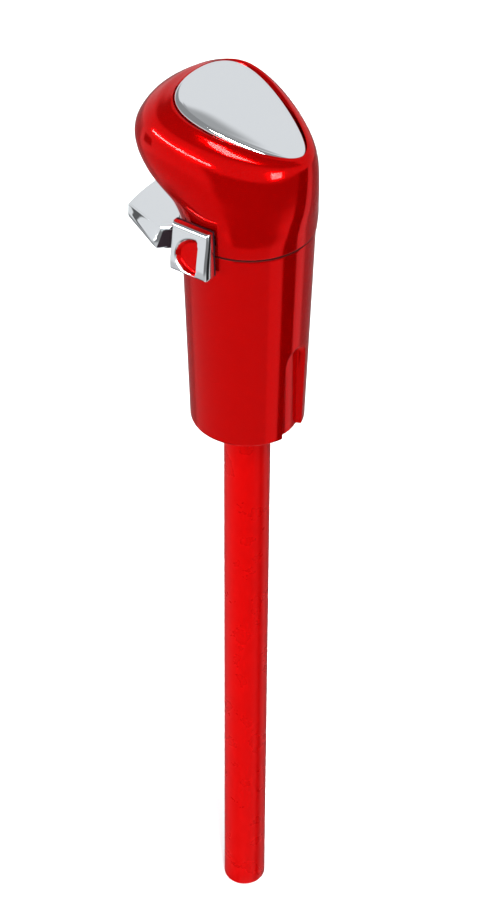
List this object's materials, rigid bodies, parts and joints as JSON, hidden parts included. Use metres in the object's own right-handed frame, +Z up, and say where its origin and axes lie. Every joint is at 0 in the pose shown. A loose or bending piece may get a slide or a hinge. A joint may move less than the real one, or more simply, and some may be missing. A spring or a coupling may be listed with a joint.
{
  "type": "gear shift lever",
  "caption": "Straight lever tube with a two-part air-valve shift knob, a front range lever, a side splitter button and a bright top badge.",
  "frame": {"origin": "centre of the mouth of the threaded hole at the tube's lower end", "axes": "+Z up the lever towards the knob, +X towards the knob's front and its range lever, +Y to the knob's left and its splitter button"},
  "size_m": [0.0743, 0.064, 0.4267],
  "materials": {
    "red_lacquer": "gloss",
    "red_gloss_shell": "gloss",
    "bright_chrome": "polished",
    "black_moulding": "satin",
    "zinc_steel": "satin",
    "valve_alloy": "machined",
    "brass_fitting": "satin",
    "seal_rubber": "matte",
    "vent_felt": "matte"
  },
  "bodies": {
    "base": {"lever_tube": "red_lacquer", "lower_thread_insert": "zinc_steel", "upper_stud": "zinc_steel", "jam_nut": "zinc_steel", "lower_skirt": "red_gloss_shell", "upper_housing": "red_gloss_shell", "top_medallion": "bright_chrome", "medallion_pad": "seal_rubber", "valve_body": "valve_alloy", "valve_top_gasket": "seal_rubber", "range_bore_plug": "brass_fitting", "splitter_bore_plugs": "brass_fitting", "range_detent_ball": "zinc_steel", "range_detent_spring": "zinc_steel", "range_detent_plug": "brass_fitting", "air_fittings": "brass_fitting", "fitting_release_collars": "black_moulding", "housing_screws": "zinc_steel", "skirt_screws": "zinc_steel", "exhaust_filter": "vent_felt"},
    "range_lever": {"range_lever_shell": "bright_chrome", "range_lever_core": "black_moulding", "range_spool": "zinc_steel", "range_spool_seals": "seal_rubber"},
    "splitter": {"splitter_button": "bright_chrome", "splitter_spool": "zinc_steel", "splitter_spool_seals": "seal_rubber", "button_dust_seal": "black_moulding"}
  },
  "joints": [
    {"name": "range_slide", "type": "slide", "parent": "base", "child": "range_lever", "axis": [0, 0, 1], "range_m": [0, 0.008]},
    {"name": "splitter_slide", "type": "slide", "parent": "base", "child": "splitter", "axis": [1, 0, 0], "range_m": [-0.006, 0]}
  ]
}
